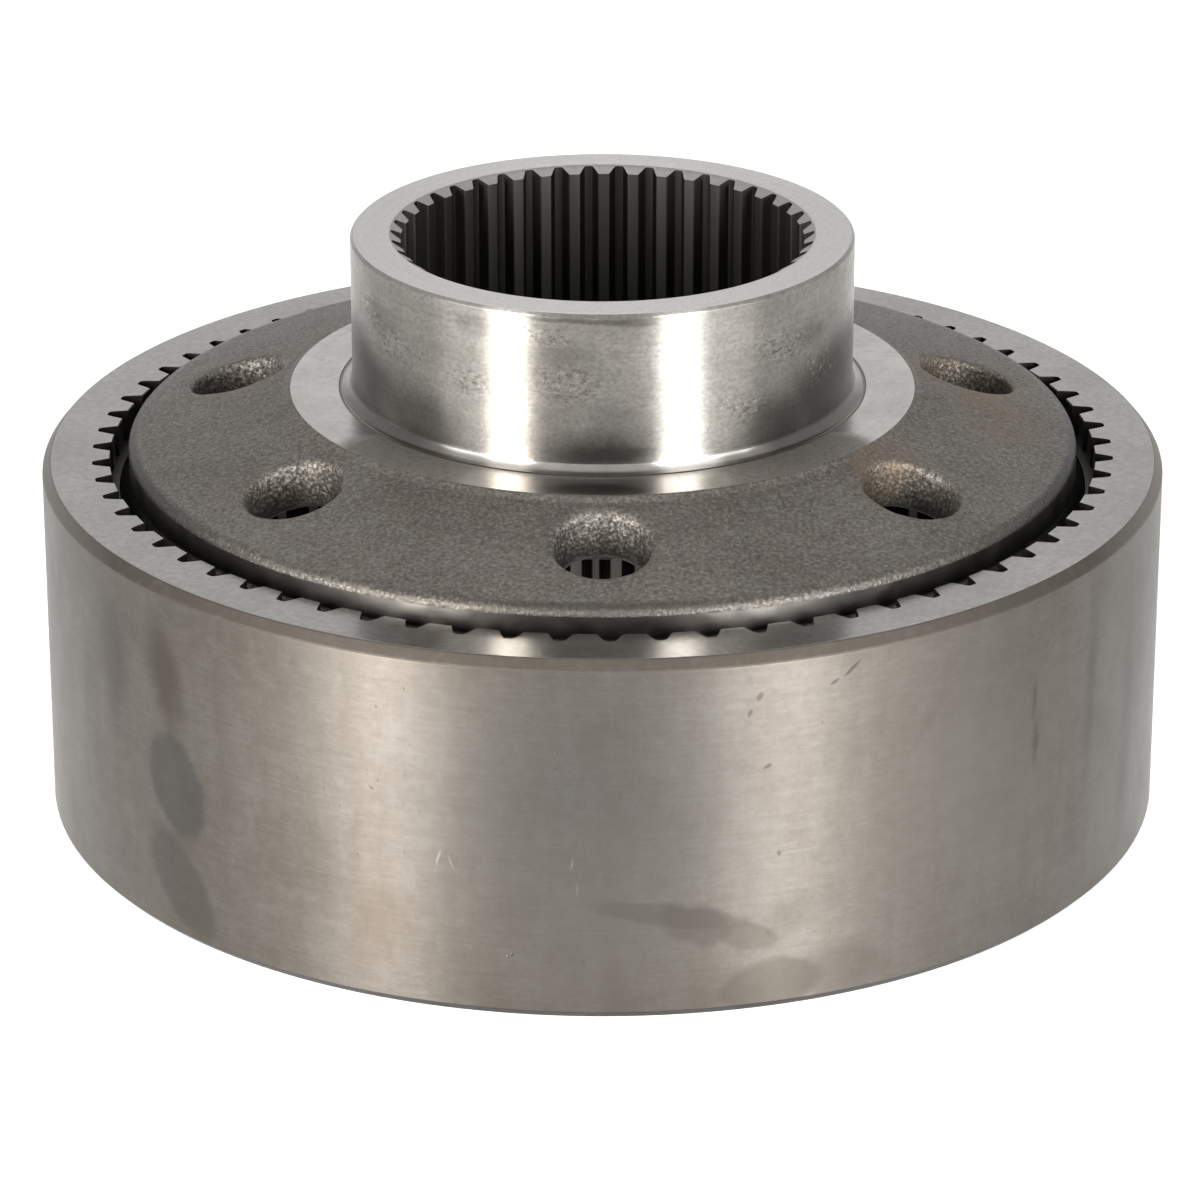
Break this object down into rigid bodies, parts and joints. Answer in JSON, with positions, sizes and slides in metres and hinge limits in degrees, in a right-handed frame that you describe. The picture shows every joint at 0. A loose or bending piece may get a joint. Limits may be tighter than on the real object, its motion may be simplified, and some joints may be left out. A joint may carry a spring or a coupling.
{
  "type": "internal ring gear",
  "caption": "Deep internally toothed steel ring, with a cast hub locked into its upper end: a conical plate with round holes and a tall boss with a splined bore.",
  "frame": {"origin": "centre of the ring gear's bottom face, on the gear axis", "axes": "+Z along the gear axis, from the open end of the ring gear towards the hub's boss; -Y faces the camera"},
  "size_m": [0.3479, 0.348, 0.183],
  "materials": {
    "turned_steel": "satin turned steel, lightly stained",
    "cast_hub": "sand-cast plate with turned face and boss, a little rust at the holes",
    "spring_steel": "oiled dark steel"
  },
  "bodies": {
    "root": {"ring_gear": "turned_steel", "ring_gear_hub": "cast_hub", "retaining_ring": "spring_steel"}
  },
  "joints": []
}
